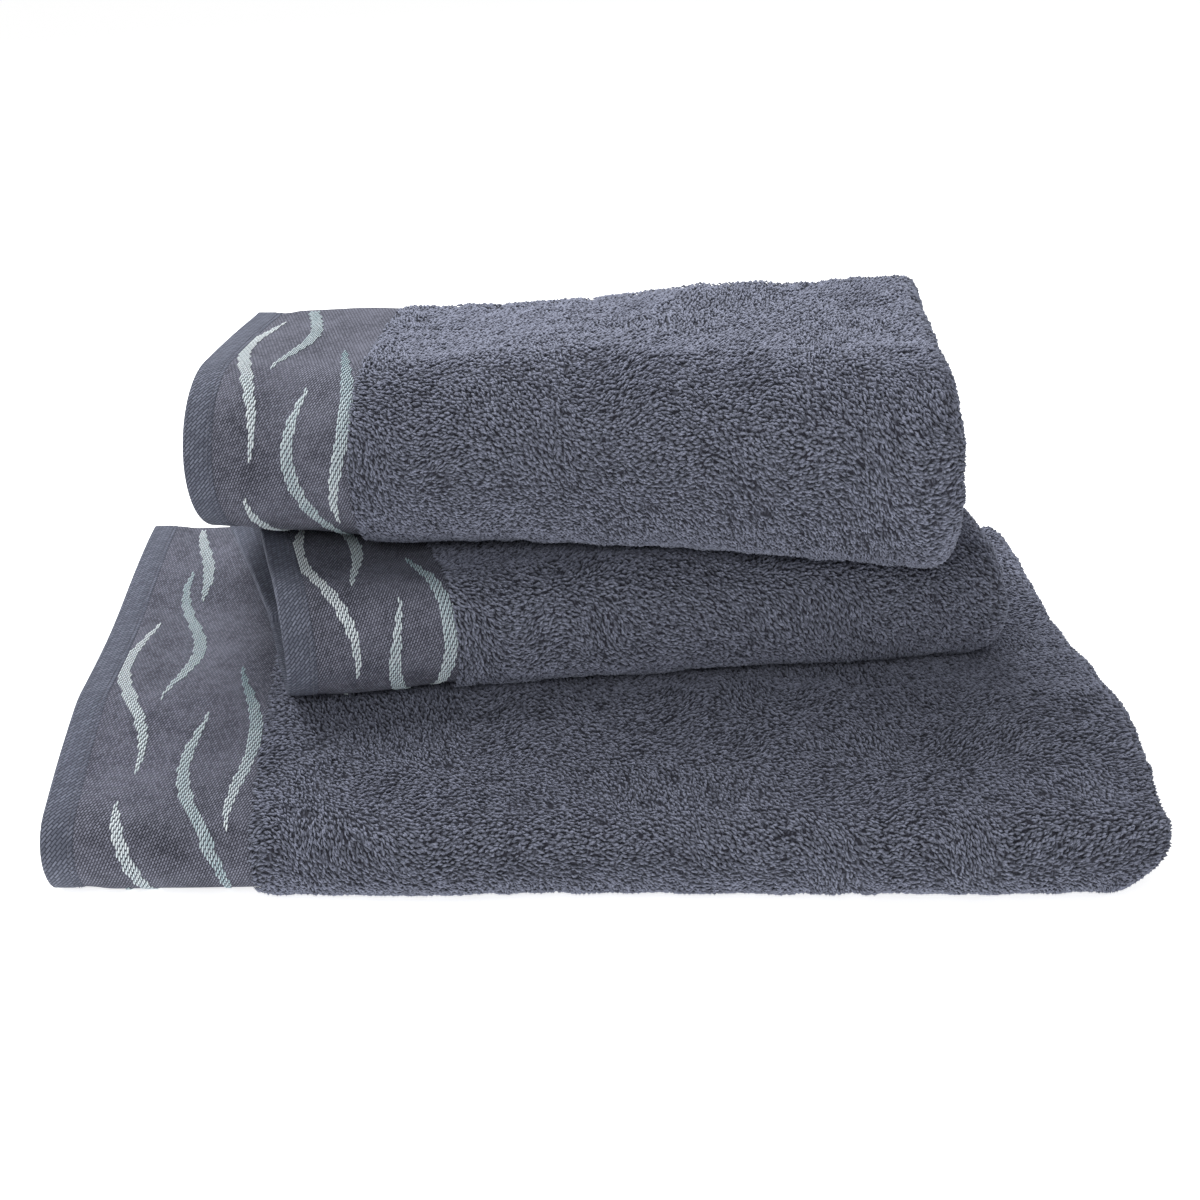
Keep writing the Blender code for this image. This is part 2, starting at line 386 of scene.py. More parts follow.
def closed_sheet(name, towel, along, across, outer, inner):
    """A closed cloth over a grid of distances: an outer face, an inner face and the four edges between them.

    outer and inner give the depth of each face from the middle of the cloth.
    """
    u, v = np.meshgrid(along, across, indexing="ij")
    faces_of = [towel.lie(u, v, outer(u, v)), towel.lie(u, v, inner(u, v))]
    points = np.concatenate([face.reshape(-1, 3) for face in faces_of])
    columns, rows = u.shape
    index = np.arange(columns * rows).reshape(columns, rows)
    under = index + columns * rows
    quads = [
        np.stack([index[:-1, :-1], index[:-1, 1:], index[1:, 1:], index[1:, :-1]], -1).reshape(-1, 4),
        np.stack([under[:-1, :-1], under[1:, :-1], under[1:, 1:], under[:-1, 1:]], -1).reshape(-1, 4),
    ]
    rim = np.concatenate([index[:, 0], index[-1, 1:], index[-2::-1, -1], index[0, -2:0:-1]])
    rim_under = rim + columns * rows
    quads.append(np.stack([rim, np.roll(rim, -1), np.roll(rim_under, -1), rim_under], -1))
    piece = mesh_piece(name, points, np.concatenate(quads))
    flat = np.tile(np.stack([u.ravel(), v.ravel()], -1), (2, 1)).astype(np.float32)
    lay_out(piece.data, flat)
    return piece


def mesh_piece(name, points, faces):
    """A smooth-shaded object from an array of points and an array of faces with as many corners each."""
    mesh = bpy.data.meshes.new(name)
    corners = faces.shape[1]
    mesh.vertices.add(len(points))
    mesh.vertices.foreach_set("co", points.astype(np.float32).ravel())
    mesh.loops.add(faces.size)
    mesh.loops.foreach_set("vertex_index", faces.astype(np.int32).ravel())
    mesh.polygons.add(len(faces))
    mesh.polygons.foreach_set("loop_start", np.arange(0, faces.size, corners, dtype=np.int32))
    mesh.polygons.foreach_set("use_smooth", np.ones(len(faces), bool))
    mesh.update(calc_edges=True)
    mesh.validate()
    piece = bpy.data.objects.new(name, mesh)
    bpy.context.scene.collection.objects.link(piece)
    return piece


def lay_out(mesh, flat):
    """Gives a mesh its place on the flat cloth, in metres, as the map that its weave or loops follow."""
    layer = mesh.uv_layers.new(name="flat_cloth")
    corner = np.empty(len(mesh.loops), np.int32)
    mesh.loops.foreach_get("vertex_index", corner)
    layer.uv.foreach_set("vector", flat[corner].astype(np.float32).ravel())


def shade(mesh, name, values):
    """A number for each point, which the material reads by name."""
    attribute = mesh.attributes.new(name, "FLOAT", "POINT")
    attribute.data.foreach_set("value", values.astype(np.float32))


CLUMP_SIZE = 0.0075
CLUMP_HEIGHT = 0.0007
PUFF_SIZE = 0.045
PUFF_HEIGHT = 0.0009
LOOP_HEIGHT = 0.00035
EDGE_FADE = 0.006
EDGE_DEPTH = 0.72
SHOWN_STEP = 0.0026
HIDDEN_STEP_ALONG = 0.012
HIDDEN_STEP_ACROSS = 0.010


def exposed_spans(towel):
    """Where the cloth shows: along it the outer third and the right fold, across it all but the flap."""
    right_fold = towel.ends.marks[2]
    return (towel.pile_start, right_fold), (0.0, towel.front_end + 0.01)


def inward(towel, u):
    """How far a point of the pile lies from the nearer woven border."""
    return np.minimum(u - towel.pile_start, towel.length - towel.pile_start - u)


def uneven_by(towel, u, v):
    """How far the loops' clumps and puffs raise the face of the pile there."""
    return CLUMP_HEIGHT * towel.clumps.at(u, v) + PUFF_HEIGHT * towel.puffs.at(u, v)


terry_pieces = {}
for towel in towels:
    towel.clumps = SoftNoise(CLUMP_SIZE)
    towel.puffs = SoftNoise(PUFF_SIZE)

    def pile_depth(u, v, towel=towel):
        near_side = np.minimum(v, towel.width - v) - SELVEDGE_WIDTH
        fade = rising(np.minimum(inward(towel, u), near_side), -0.25 * EDGE_FADE, EDGE_FADE)
        uneven = uneven_by(towel, u, v) + LOOP_HEIGHT * rng.uniform(-1, 1, u.shape)
        return -(towel.skin * (EDGE_DEPTH + (1 - EDGE_DEPTH) * fade) + uneven * fade)

    def under_depth(u, v, towel=towel):
        fade = rising(inward(towel, u), -0.25 * EDGE_FADE, EDGE_FADE)
        return towel.skin * (EDGE_DEPTH + (1 - EDGE_DEPTH) * fade)

    shown_along, shown_across = exposed_spans(towel)
    along = spaced(
        towel.pile_start, towel.length - towel.pile_start, [shown_along], SHOWN_STEP, HIDDEN_STEP_ALONG
    )
    across = spaced(
        SELVEDGE_WIDTH + SEAM_GAP, towel.width - SELVEDGE_WIDTH - SEAM_GAP,
        [shown_across, (towel.back_start, towel.back_end)], SHOWN_STEP, HIDDEN_STEP_ACROSS,
    )
    cloth = closed_sheet(f"{towel.body}_terry", towel, along, across, pile_depth, under_depth)
    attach(cloth, towel.body)
    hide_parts(f"{towel.body}_pile_cloth")
    terry_pieces[towel.body] = cloth

# The loops that stand out from the cloth, each a short arched strand of cotton with its feet in the weave.
# They lean together in patches, are worn thin here and there, and lie pressed flat under the towel above.

STRAND_LENGTH = 0.0042
STRAND_WIDTH = 0.00128
STRAND_RISE = 0.0012
STRAND_PITCH = 0.00138
# Painted shade along each loop, at its foot, left side, crown, right side and other foot: darker at the feet
# and sides, lightest at the crown.
FOOT_TO_CROWN_PAINTED_SHADE = np.array([0.42, 0.26, 1.0, 0.26, 0.42])
LEAN_SIZE = 0.028
LEAN_SWING = 1.1
LEAN_SPREAD = 0.5
USUAL_LEAN = 0.35
WORN_BELOW = -0.45
WORN_SHARE = 0.25
PRESSED_RISE = 0.35
PRESSED_END_INSET = 0.020
PRESSED_SIDE_INSET = 0.034
BORDER_DROP = 0.0007


def strand_bodies(name, towel, u, v, heading, length, width, rise, depth, bends=((0.05, 1.0),)):
    """Small closed strands on the cloth, each with a pointed foot at both ends.

    Between the feet are one or more bends, each a place along the half length and how full it is there.
    The points of a strand go foot, then left, crown and right of each bend, then foot.
    """
    cosine, sine = np.cos(heading), np.sin(heading)

    def beside(forward, sideways, lift):
        along = u + forward * cosine - sideways * sine
        across = v + forward * sine + sideways * cosine
        return towel.lie(along, across, depth - lift)

    half, side = length / 2, width / 2
    bow = rng.uniform(-0.45, 0.45, len(u)) * width * (len(bends) == 1)
    corners = [beside(-half, 0 * side, -0.3 * rise)]
    for forward, full in bends:
        corners.append(beside(forward * half, bow + full * side, 0.25 * rise))
        corners.append(beside(forward * half, bow, full * rise))
        corners.append(beside(forward * half, bow - full * side, 0.25 * rise))
    corners.append(beside(half, 0 * side, -0.3 * rise))
    corner_count = len(corners)
    last = corner_count - 1
    pattern = [(0, 2, 1), (0, 3, 2), (0, 1, 3)]
    for first in range(1, last - 3, 3):
        for near, far in ((0, 1), (1, 2), (2, 0)):
            pattern.append((first + near, first + far, first + 3 + far))
            pattern.append((first + near, first + 3 + far, first + 3 + near))
    pattern += [(last, last - 3, last - 2), (last, last - 2, last - 1), (last, last - 1, last - 3)]
    starts = corner_count * np.arange(len(u))[:, None, None]
    faces = (np.array(pattern)[None] + starts).reshape(-1, 3)
    piece = mesh_piece(name, np.stack(corners, 1).reshape(-1, 3), faces)
    lay_out(piece.data, np.repeat(np.stack([u, v], -1), corner_count, axis=0))
    return piece


def scattered(near, far, low, high, pitch):
    """Places on the flat cloth in jittered rows."""
    u, v = np.meshgrid(np.arange(near, far, pitch), np.arange(low, high, pitch), indexing="ij")
    u = u + rng.uniform(-0.6, 0.6, u.shape) * pitch
    v = v + rng.uniform(-0.6, 0.6, v.shape) * pitch
    return u.ravel(), v.ravel()


def pressed_under(above, towel, u, v):
    """Which places of a towel's face lie well inside the outline of the towel above it."""
    offset = towel.lie(u, v, -towel.skin) - above.place
    cosine, sine = math.cos(-above.turn), math.sin(-above.turn)
    x = offset[:, 0] * cosine - offset[:, 1] * sine
    y = offset[:, 0] * sine + offset[:, 1] * cosine
    x = x + above.skew * y
    within_ends = abs(x) < above.span / 2 - PRESSED_END_INSET
    return within_ends & (abs(y) < above.depth / 2 - PRESSED_SIDE_INSET)


above_of = {"bath_towel": middle, "hand_towel_middle": top, "hand_towel_top": None}
for towel in towels:
    above = above_of[towel.body]
    lean = SoftNoise(LEAN_SIZE)
    right_fold = towel.ends.marks[2] - 0.002
    crest = towel.across.marks[1]
    left, right = towel.pile_start - 0.0010, towel.third + 0.002
    half_way = (left + right) / 2
    fields = {
        "top_left": (left, half_way, SELVEDGE_WIDTH, crest),
        "top_right": (half_way, right, SELVEDGE_WIDTH, crest),
        "front": (left, right, crest, towel.front_end + 0.002),
        "back": (left, right, towel.back_start - 0.006, towel.back_end),
        "end": (right, right_fold, SELVEDGE_WIDTH, towel.width - SELVEDGE_WIDTH),
    }
    for field, (near, far, low, high) in fields.items():
        u, v = scattered(near, far, low, high, STRAND_PITCH)
        worn = (towel.clumps.at(u, v) < WORN_BELOW) & (rng.uniform(0, 1, len(u)) < WORN_SHARE)
        u, v = u[~worn], v[~worn]
        pressed = np.zeros(len(u), bool)
        if above is not None and field.startswith("top"):
            pressed = pressed_under(above, towel, u, v)
        heading = USUAL_LEAN + LEAN_SWING * lean.at(u, v) + LEAN_SPREAD * rng.uniform(-1, 1, len(u))
        size = rng.uniform(0.7, 1.25, len(u))
        off_border = rising(u, towel.pile_start - 0.001, 0.004)
        loops = strand_bodies(
            f"{towel.body}_loops_{field}", towel, u, v, heading,
            STRAND_LENGTH * size, STRAND_WIDTH * rng.uniform(0.8, 1.2, len(u)),
            STRAND_RISE * size * np.where(pressed, PRESSED_RISE, 1.0),
            -towel.skin - uneven_by(towel, u, v) + BORDER_DROP * (1 - off_border),
        )
        # Each loop's own tone at random, times the painted shade that darkens its feet and sides.
        light = rng.uniform(0.40, 1.0, len(u))[:, None] * FOOT_TO_CROWN_PAINTED_SHADE
        shade(loops.data, "strand_tone_and_painted_shade", light.ravel())
        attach(loops, towel.body)
        terry_pieces[loops.name] = loops


def nodes_of(material):
    """The material's node tree and its Principled shader."""
    material.use_nodes = True
    return material.node_tree, material.node_tree.nodes["Principled BSDF"]


class Cotton:
    """A cotton finish: matt, with the pale bloom that short fibres give at a low angle."""

    def __init__(self, name, colour, roughness, sheen, sheen_tint):
        self.material = bpy.data.materials.new(name)
        self.tree, self.shader = nodes_of(self.material)
        self.link = self.tree.links.new
        self.shader.inputs["Base Color"].default_value = (*colour, 1)
        self.shader.inputs["Roughness"].default_value = roughness
        self.shader.inputs["Specular IOR Level"].default_value = 0.15
        self.shader.inputs["Sheen Weight"].default_value = sheen
        self.shader.inputs["Sheen Roughness"].default_value = 0.6
        self.shader.inputs["Sheen Tint"].default_value = (*sheen_tint, 1)

    def add(self, kind, **settings):
        """A new node. Each setting is one of its inputs, or else a property of it."""
        node = self.tree.nodes.new(kind)
        for name, value in settings.items():
            if name in node.inputs:
                node.inputs[name].default_value = value
            else:
                setattr(node, name, value)
        return node

    def scaled(self, value, factor, added=0.0):
        """A value times a number, plus a number or another value."""
        node = self.add("ShaderNodeMath", operation="MULTIPLY_ADD")
        self.link(value, node.inputs[0])
        node.inputs[1].default_value = factor
        if isinstance(added, float):
            node.inputs[2].default_value = added
        else:
            self.link(added, node.inputs[2])
        return node.outputs["Value"]

    def colour_by(self, share, first, second):
        """Runs from the first colour to the second as the share runs from 0 to 1."""
        tone = self.add("ShaderNodeMix", data_type="RGBA")
        tone.inputs["A"].default_value = (*first, 1)
        tone.inputs["B"].default_value = (*second, 1)
        self.link(share, tone.inputs["Factor"])
        self.link(tone.outputs["Result"], self.shader.inputs["Base Color"])

    def colour_between(self, share, first, second):
        """Runs from one colour to another between two values of the share. Each is a value and a colour."""
        tone = self.add("ShaderNodeValToRGB")
        for stop, (position, colour) in zip(tone.color_ramp.elements, (first, second)):
            stop.position = position
            stop.color = (*colour, 1)
        self.link(share, tone.inputs["Fac"])
        self.link(tone.outputs["Color"], self.shader.inputs["Base Color"])

    def raise_by(self, height, strength, distance, invert=False):
        lift = self.add("ShaderNodeBump", Strength=strength, Distance=distance)
        lift.invert = invert
        self.link(height, lift.inputs["Height"])
        self.link(lift.outputs["Normal"], self.shader.inputs["Normal"])


def node_group(name, inputs, output):
    """An empty node group with named inputs and their usual values, its two ends, and what adds to it."""
    group = bpy.data.node_groups.new(name, "ShaderNodeTree")
    for label, value in inputs.items():
        group.interface.new_socket(label, in_out="INPUT", socket_type="NodeSocketFloat").default_value = value
    group.interface.new_socket(output, in_out="OUTPUT", socket_type="NodeSocketFloat")
    given, result = group.nodes.new("NodeGroupInput"), group.nodes.new("NodeGroupOutput")
    return group, given, result, group.nodes.new, group.links.new


# The uneven tone of spun cotton, finer than a strand: used for the loops and for the sewing thread.
fibres, given, result, put, link = node_group("cotton_fibres", {"Fineness": 1500.0}, "Tone")
place = put("ShaderNodeTexCoord")
fibre = put("ShaderNodeTexNoise")
fibre.inputs["Detail"].default_value = 2.0
link(place.outputs["Object"], fibre.inputs["Vector"])
link(given.outputs["Fineness"], fibre.inputs["Scale"])
link(fibre.outputs["Fac"], result.inputs["Tone"])

# The darkest terry colour is painted shade: the near black of the gaps between the curls of the ground and of
# the loops' feet and sides, where the pile shadows itself.
TERRY_PAINTED_SHADE = (0.026, 0.026, 0.036)
TERRY_MID = (0.150, 0.160, 0.210)
TERRY_LIGHT = (0.290, 0.308, 0.402)
BLOOM = (0.62, 0.68, 0.80)

# The cloth that the loops stand in: small curled shapes, drawn out one way, with painted shade between them
# where the loops above shadow the cloth.
ground = Cotton("terry_ground", TERRY_MID, 0.95, 0.15, BLOOM)
flat = ground.add("ShaderNodeUVMap", uv_map="flat_cloth")
stretch = ground.add("ShaderNodeMapping", Scale=(1.0, 0.45, 1.0), Rotation=(0, 0, 0.7))
ground.link(flat.outputs["UV"], stretch.inputs["Vector"])
warp = ground.add("ShaderNodeTexNoise", Scale=60.0, Detail=2.0)
ground.link(flat.outputs["UV"], warp.inputs["Vector"])
bend = ground.add("ShaderNodeVectorMath", operation="MULTIPLY_ADD")
bend.inputs[1].default_value = (0.010, 0.010, 0.0)
ground.link(warp.outputs["Color"], bend.inputs[0])
ground.link(stretch.outputs["Vector"], bend.inputs[2])
curls = ground.add("ShaderNodeTexVoronoi", feature="F1", Scale=900.0, Randomness=1.0)
ground.link(bend.outputs["Vector"], curls.inputs["Vector"])
ground.colour_between(curls.outputs["Distance"], (0.05, TERRY_MID), (0.55, TERRY_PAINTED_SHADE))
ground.raise_by(curls.outputs["Distance"], 0.9, 0.0008, invert=True)

# The loops: each in its own shade of the dye at random, with painted shade that darkens its feet and sides,
# so that only its crown is light.
strand = Cotton("terry_loops", TERRY_LIGHT, 0.9, 0.25, BLOOM)
own = strand.add("ShaderNodeAttribute", attribute_name="strand_tone_and_painted_shade", attribute_type="GEOMETRY")
fibre = strand.add("ShaderNodeGroup", node_tree=fibres, Fineness=1500.0)
own_share = strand.scaled(own.outputs["Fac"], 0.85)
tone_share = strand.scaled(fibre.outputs["Tone"], 0.30, added=own_share)
strand.colour_between(tone_share, (0.15, TERRY_PAINTED_SHADE), (0.90, TERRY_LIGHT))

for name, piece in terry_pieces.items():
    cotton = strand if "loops" in name else ground
    piece.data.materials.append(cotton.material)

# ----------------------------------------------------------------------------------------------------------
# The woven borders: a flat band of fine mauve-grey weave across each end, without loops. A band ripples a
# little, except where the hem and the loops hold it flat.
# ----------------------------------------------------------------------------------------------------------

BORDER_FACE = 0.0011
BORDER_STEP = 0.0025
RIPPLE_SIZE = 0.026
RIPPLE_HEIGHT = 0.0013
RIPPLE_FADE = 0.010
UNDER_THE_HEM = 0.0010
BORDER_COLOUR = (0.226, 0.231, 0.294)
BORDER_SHADE = (0.020, 0.021, 0.031)

# The weave of the bands and the hems: short raised picks in slanting rows, each a little lighter or darker.
picks_group, given, result, put, link = node_group(
    "woven_picks", {"Slant": 1.1, "Length": 0.0020, "Width": 0.0011, "Gap": 0.00038}, "Raised"
)
flat = put("ShaderNodeUVMap")
flat.uv_map = "flat_cloth"
turned = put("ShaderNodeVectorRotate")
turned.rotation_type = "Z_AXIS"
picks = put("ShaderNodeTexBrick")
picks.offset = 0.5
picks.inputs["Scale"].default_value = 1.0
picks.inputs["Color1"].default_value = (1, 1, 1, 1)
picks.inputs["Color2"].default_value = (0.45, 0.45, 0.45, 1)
picks.inputs["Mortar"].default_value = (0, 0, 0, 1)
picks.inputs["Mortar Smooth"].default_value = 1.0
link(flat.outputs["UV"], turned.inputs["Vector"])
link(given.outputs["Slant"], turned.inputs["Angle"])
link(turned.outputs["Vector"], picks.inputs["Vector"])
for label, socket in (("Length", "Brick Width"), ("Width", "Row Height"), ("Gap", "Mortar Size")):
    link(given.outputs[label], picks.inputs[socket])
link(picks.outputs["Color"], result.inputs["Raised"])

# The bands are worn to soft cloudy patches of the light and the dark yarn.
weave = Cotton("border_weave", BORDER_COLOUR, 0.85, 0.10, BLOOM)
picks = weave.add(
    "ShaderNodeGroup", node_tree=picks_group, Slant=math.pi / 2 - 0.45, Length=0.0020, Width=0.0011,
    Gap=0.00038,
)
flat = weave.add("ShaderNodeUVMap", uv_map="flat_cloth")
cloudy = weave.add("ShaderNodeTexNoise", Scale=26.0, Detail=7.0, Roughness=0.78)
weave.link(flat.outputs["UV"], cloudy.inputs["Vector"])
worn = weave.scaled(picks.outputs["Raised"], 1.1, added=-0.72)
light = weave.scaled(cloudy.outputs["Fac"], 1.5, added=worn)
weave.colour_by(light, BORDER_SHADE, BORDER_COLOUR)
weave.raise_by(picks.outputs["Raised"], 1.0, 0.0005)


def border_face(towel, u, v):
    """The depth of the band's outer face: it ripples, but lies flat where it meets the hem and the loops."""
    inset = np.minimum(u, towel.length - u)
    from_joins = np.minimum(inset - HEM_WIDTH, towel.pile_start - inset)
    return -BORDER_FACE - RIPPLE_HEIGHT * smooth_step(from_joins / RIPPLE_FADE) * towel.ripple.at(u, v)


def from_end(towel, end, distance):
    """A distance from one end of the cloth as a distance along it, which starts at its outer end."""
    return distance if end == "outer" else towel.length - distance


sheet_parts = {towel.body: [] for towel in towels}
for towel in towels:
    towel.ripple = SoftNoise(RIPPLE_SIZE)
    for end in ("outer", "tucked"):
        near, far = sorted((
            from_end(towel, end, HEM_WIDTH - UNDER_THE_HEM),
            from_end(towel, end, towel.pile_start - SEAM_GAP),
        ))
        border = closed_sheet(
            f"{towel.body}_woven_border_{end}", towel,
            evenly(near, far, BORDER_STEP), evenly(0, towel.width, BORDER_STEP),
            lambda u, v, towel=towel: border_face(towel, u, v), level(BORDER_FACE),
        )
        border.data.materials.append(weave.material)
        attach(border, towel.body)
        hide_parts(f"{towel.body}_border_{end}")
        sheet_parts[towel.body].append(border)

# ----------------------------------------------------------------------------------------------------------
# The wavy strokes on the borders: white and pale teal thread that floats over the weave in short stitches,
# side by side and set off by half a stitch, so that a stroke has stepped edges and thin ends.
# ----------------------------------------------------------------------------------------------------------

STROKE_REPEAT = 0.230
STROKE_REPEATS = 5
STROKE_WIDTH = 0.0062
STROKE_TAPER = 0.6
STROKE_MARGIN = 0.004
STROKE_SHIFTS = {"bath_towel": 0.0, "hand_towel_middle": -0.028, "hand_towel_top": -0.073}
FLOAT_LENGTH = 0.0037
FLOAT_PITCH = 0.0034
FLOAT_WIDTH = 0.00092
FLOAT_FILL = 0.95
FLOAT_RISE = 0.00055
FLOAT_SLANT = 0.10
FLOAT_BENDS = ((-0.5, 0.9), (0.5, 0.9))
THREAD_LIFT = 0.0001

# Each stroke's start across the towel, length, middle from the hem, lean, sway and phase, and how teal it is
# where it starts and where it ends.
STROKES = (
    (0.000, 0.072, 0.022, 0.012, 0.002, 0.60, 0.1, 0.4),
    (0.045, 0.122, 0.026, 0.006, 0.007, 0.63, 0.6, 0.3),
    (0.094, 0.120, 0.010, 0.010, 0.007, 0.38, 0.0, 0.2),
    (0.138, 0.110, 0.065, 0.006, 0.005, 0.80, 0.9, 0.1),
    (0.175, 0.112, 0.049, 0.012, 0.007, 0.40, 0.3, 0.7),
)


def stroke_places(towel):
    """Where the floats of every stroke lie: distance from the hem, distance across, and how teal each is."""
    scale = towel.border / bath.border
    found = []
    first = -STROKE_REPEAT + STROKE_SHIFTS[towel.body]
    for repeat in range(STROKE_REPEATS):
        for start, length, centre, lean, sway, phase, teal_first, teal_last in STROKES:
            start = start + first + repeat * STROKE_REPEAT
            for column in range(int(towel.border / FLOAT_WIDTH)):
                u = (column + 0.5) * FLOAT_WIDTH
                rows = np.arange(math.ceil(start / FLOAT_PITCH), (start + length) / FLOAT_PITCH)
                v = (rows + 0.5 * (column % 2)) * FLOAT_PITCH
                t = (v - start) / length
                line = centre + lean * (t - 0.5) + sway * np.sin(2 * math.pi * (t + phase))
                wide = STROKE_WIDTH * np.clip(np.sin(math.pi * np.clip(t, 0, 1)), 0, 1) ** STROKE_TAPER
                inside = abs(u - line * scale) < np.maximum(wide, FLOAT_WIDTH) / 2
                inside &= (t > 0) & (t < 1) & (v > STROKE_MARGIN) & (v < towel.width - STROKE_MARGIN)
                teal = teal_first + (teal_last - teal_first) * t
                found += list(zip(np.full(inside.sum(), u), v[inside], teal[inside]))
    return np.array(found).T


FLOAT_WHITE = (0.84, 0.90, 0.93)
FLOAT_TEAL = (0.30, 0.44, 0.49)

floats = Cotton("float_thread", FLOAT_WHITE, 0.55, 0.2, (0.9, 0.95, 1.0))
own = floats.add("ShaderNodeAttribute", attribute_name="teal", attribute_type="GEOMETRY")
floats.colour_by(own.outputs["Fac"], FLOAT_WHITE, FLOAT_TEAL)

for towel in towels:
    from_hem, v, teal = stroke_places(towel)
    for end in ("outer", "tucked"):
        u = from_end(towel, end, HEM_WIDTH + from_hem)
        heading = math.pi / 2 + FLOAT_SLANT + rng.uniform(-0.05, 0.05, len(u))
        threads = strand_bodies(
            f"{towel.body}_strokes_{end}", towel, u, v, heading,
            FLOAT_LENGTH * rng.uniform(0.92, 1.08, len(u)), np.full(len(u), FLOAT_WIDTH * FLOAT_FILL),
            np.full(len(u), FLOAT_RISE), border_face(towel, u, v) - THREAD_LIFT, bends=FLOAT_BENDS,
        )
        uneven_teal = np.clip(teal + rng.uniform(-0.12, 0.12, len(u)), 0, 1)
        shade(threads.data, "teal", np.repeat(uneven_teal, 2 + 3 * len(FLOAT_BENDS)))
        threads.data.materials.append(floats.material)
        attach(threads, towel.body)
        sheet_parts[towel.body].append(threads)

# ----------------------------------------------------------------------------------------------------------
# The hems: the last of the cloth turned in on itself at each end, of slanting weave with a round edge.
# Each is held by a row of lockstitch just short of the border, which pulls a groove into it.
# ----------------------------------------------------------------------------------------------------------

HEM_FACE = 0.0017
HEM_STEP = 0.0045
STITCH_INSET = 0.0025
GROOVE_WIDTH = 0.0010
GROOVE_SHARE = 0.25
INNER_EDGE = 0.0018
INNER_EDGE_FADE = 0.0015
INNER_EDGE_SHARE = 0.28
HEM_COLOUR = (0.184, 0.198, 0.256)
HEM_SHADE = (0.040, 0.044, 0.062)

hem_weave = Cotton("hem_rib", HEM_COLOUR, 0.88, 0.10, BLOOM)
picks = hem_weave.add(
    "ShaderNodeGroup", node_tree=picks_group, Slant=0.9, Length=0.0036, Width=0.0013, Gap=0.00042
)
hem_weave.colour_by(picks.outputs["Raised"], HEM_SHADE, HEM_COLOUR)
hem_weave.raise_by(picks.outputs["Raised"], 1.0, 0.0004)


def hem_thickness(inset):
    """Half the hem's thickness: round at the edge, full in the middle and pulled in at the stitches."""
    rounded = np.sqrt(np.clip(1 - (1 - np.clip(inset / HEM_FACE, 0, 1)) ** 2, 0.02, 1))
    groove = np.exp(-(((inset - HEM_WIDTH + STITCH_INSET) / GROOVE_WIDTH) ** 2))
    inner_edge = rising(inset, HEM_WIDTH - INNER_EDGE, INNER_EDGE_FADE)
    return HEM_FACE * rounded * (1 - GROOVE_SHARE * groove) * (1 - INNER_EDGE_SHARE * inner_edge)


for towel in towels:
    for end in ("outer", "tucked"):

        def half_thick(u, v, towel=towel, end=end):
            return hem_thickness(from_end(towel, end, u))

        round_edge = HEM_FACE * (1 - np.cos(np.linspace(0, math.pi / 2, 6)))
        flat_part = np.linspace(HEM_FACE, HEM_WIDTH - SEAM_GAP, 16)[1:]
        along = np.sort(from_end(towel, end, np.concatenate([round_edge, flat_part])))
        hem = closed_sheet(
            f"{towel.body}_turned_hem_{end}", towel, along, evenly(0, towel.width, HEM_STEP),
            lambda u, v, half=half_thick: -half(u, v), half_thick,
        )
        hem.data.materials.append(hem_weave.material)
        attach(hem, towel.body)
        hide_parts(f"{towel.body}_hem_{end}")
        sheet_parts[towel.body].append(hem)

# The stitching: one row of lockstitch in grey thread along each hem, four stitches to the centimetre.

STITCH_PITCH = 0.0026
STITCH_LENGTH = 0.0023
STITCH_WIDTH = 0.0007
STITCH_RISE = 0.0005
STITCH_SLANT = 0.12
THREAD_COLOUR = (0.170, 0.178, 0.225)
THREAD_DARK = (0.120, 0.126, 0.160)
THREAD_PALE = (0.200, 0.208, 0.260)

thread = Cotton("sewing_thread", THREAD_COLOUR, 0.6, 0.1, BLOOM)
fibre = thread.add("ShaderNodeGroup", node_tree=fibres, Fineness=2500.0)
thread.colour_by(fibre.outputs["Tone"], THREAD_DARK, THREAD_PALE)

stitch_line = HEM_WIDTH - STITCH_INSET
groove_face = float(hem_thickness(np.array(stitch_line)))
for towel in towels:
    for end in ("outer", "tucked"):
        v = np.arange(0.003, towel.width - 0.002, STITCH_PITCH)
        alike = np.ones(len(v))
        stitches = strand_bodies(
            f"{towel.body}_stitches_{end}", towel, from_end(towel, end, stitch_line) * alike, v,
            (math.pi / 2 + STITCH_SLANT) * alike, STITCH_LENGTH * alike, STITCH_WIDTH * alike,
            STITCH_RISE * alike, (-groove_face - THREAD_LIFT) * alike,
        )
        stitches.data.materials.append(thread.material)
        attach(stitches, towel.body)
        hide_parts(f"{towel.body}_hem_stitching_{end}")
        sheet_parts[towel.body].append(stitches)

# ----------------------------------------------------------------------------------------------------------
# The selvedges: the narrow edges down both long sides, woven tight and without loops, as the hems are.
# They run from one border to the other, through every fold.
# ----------------------------------------------------------------------------------------------------------

SELVEDGE_FACE = 0.0010
SELVEDGE_STEP = 0.008

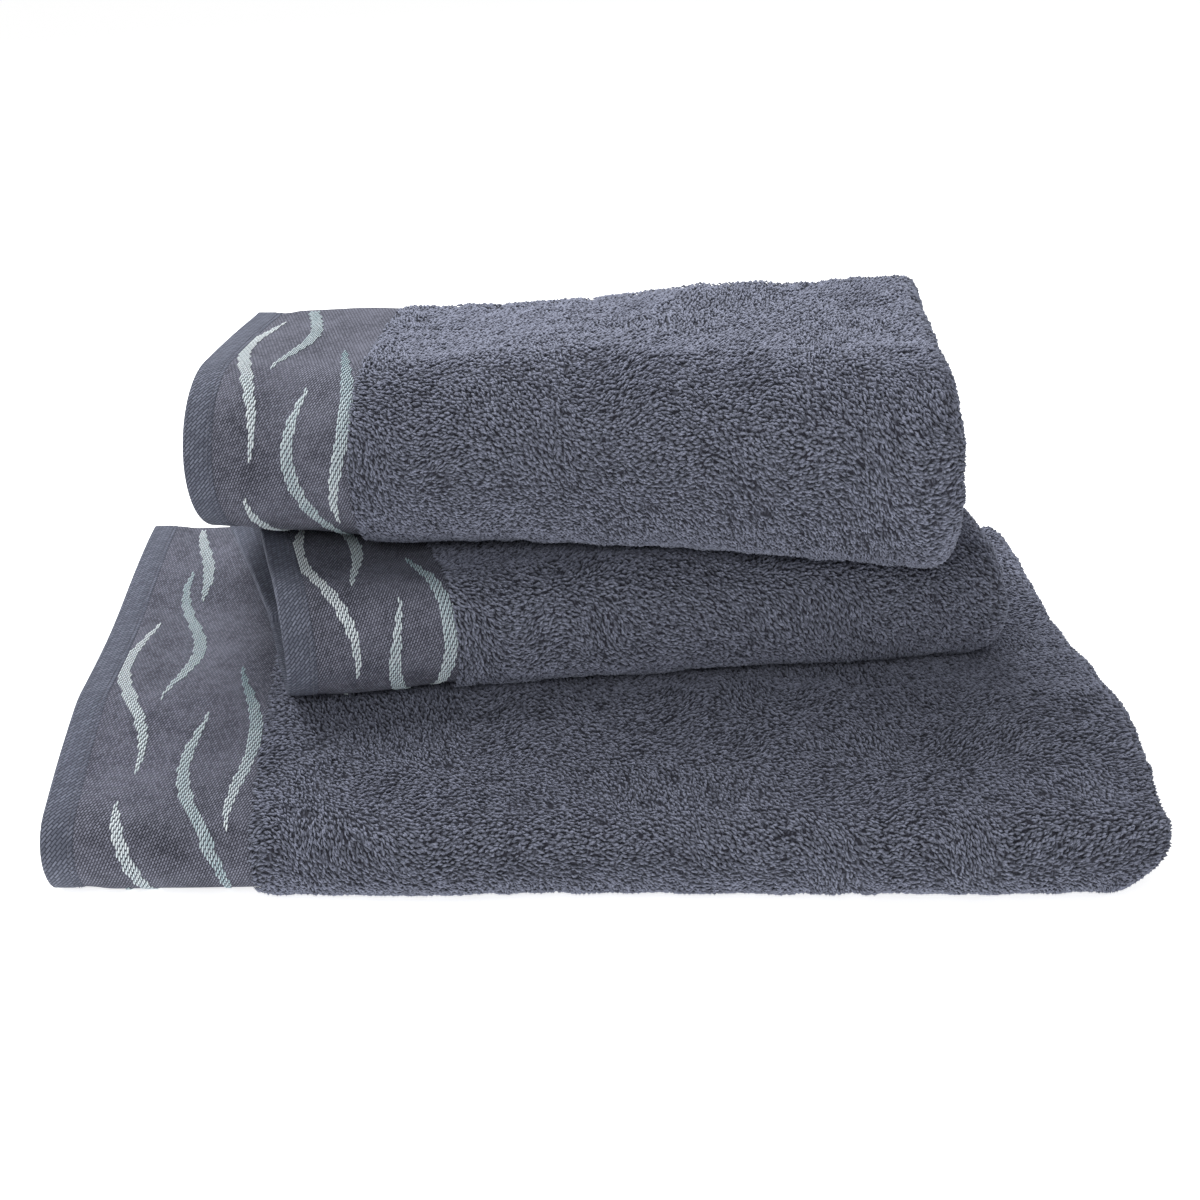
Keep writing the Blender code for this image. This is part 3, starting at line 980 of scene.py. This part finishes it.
for towel in towels:
    for end, across in (
        ("outer", (0, SELVEDGE_WIDTH)),
        ("tucked", (towel.width - SELVEDGE_WIDTH, towel.width)),
    ):
        edge = closed_sheet(
            f"{towel.body}_woven_selvedge_{end}", towel,
            evenly(towel.pile_start, towel.length - towel.pile_start, SELVEDGE_STEP),
            np.linspace(*across, 6), level(-SELVEDGE_FACE), level(SELVEDGE_FACE),
        )
        edge.data.materials.append(hem_weave.material)
        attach(edge, towel.body)
        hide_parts(f"{towel.body}_selvedge_{end}")
        sheet_parts[towel.body].append(edge)

# The pieces of loops of each towel, gathered by name. A real towel is one sheet of cloth, cut to its width
# and length before it is hemmed and folded.
for towel in towels:
    loops = [terry_pieces[f"{towel.body}_loops_{field}"] for field in fields]

# ----------------------------------------------------------------------------------------------------------
# The studio: a plain white surface and soft lights, one broad one overhead and behind, one low at the front.
# The surface glows a little, so that it is white all over.
# ----------------------------------------------------------------------------------------------------------

bpy.ops.mesh.primitive_plane_add(size=12, location=(0, 0, 0))
floor = bpy.context.object
floor.name = "floor"
paper = bpy.data.materials.new("white_paper")
tree, shader = nodes_of(paper)
shader.inputs["Base Color"].default_value = (0.93, 0.93, 0.93, 1)
shader.inputs["Roughness"].default_value = 0.9
shader.inputs["Emission Color"].default_value = (1, 1, 1, 1)
shader.inputs["Emission Strength"].default_value = 0.71
floor.data.materials.append(paper)

world = bpy.data.worlds.new("studio")
bpy.context.scene.world = world
world.use_nodes = True
background = world.node_tree.nodes["Background"]
background.inputs["Color"].default_value = (1, 1, 1, 1)
background.inputs["Strength"].default_value = 0.30


def soft_light(name, location, target, size, power):
    lamp = bpy.data.lights.new(name, "AREA")
    lamp.shape = "RECTANGLE"
    lamp.size, lamp.size_y = size
    lamp.energy = power
    holder = bpy.data.objects.new(name, lamp)
    bpy.context.scene.collection.objects.link(holder)
    holder.location = location
    aim = Vector(target) - Vector(location)
    holder.rotation_euler = aim.to_track_quat("-Z", "Y").to_euler()


soft_light("overhead", (-0.48, 0.62, 1.35), (0, 0.02, 0.15), (1.5, 1.0), 33)
soft_light("front_fill", (-0.4, -1.5, 1.3), (0, 0, 0.10), (1.2, 0.8), 10)

camera_data = bpy.data.cameras.new("camera")
camera_data.sensor_width = 36
camera_data.lens = 45.6
camera = bpy.data.objects.new("camera", camera_data)
bpy.context.scene.collection.objects.link(camera)
bath_front = bath.low[1]
camera.location = (0.0054, bath_front - 0.5195, 0.4202)
camera.rotation_euler = (math.radians(90 - 27.3), 0, 0)
bpy.context.scene.camera = camera
bpy.context.scene.view_settings.view_transform = "Standard"
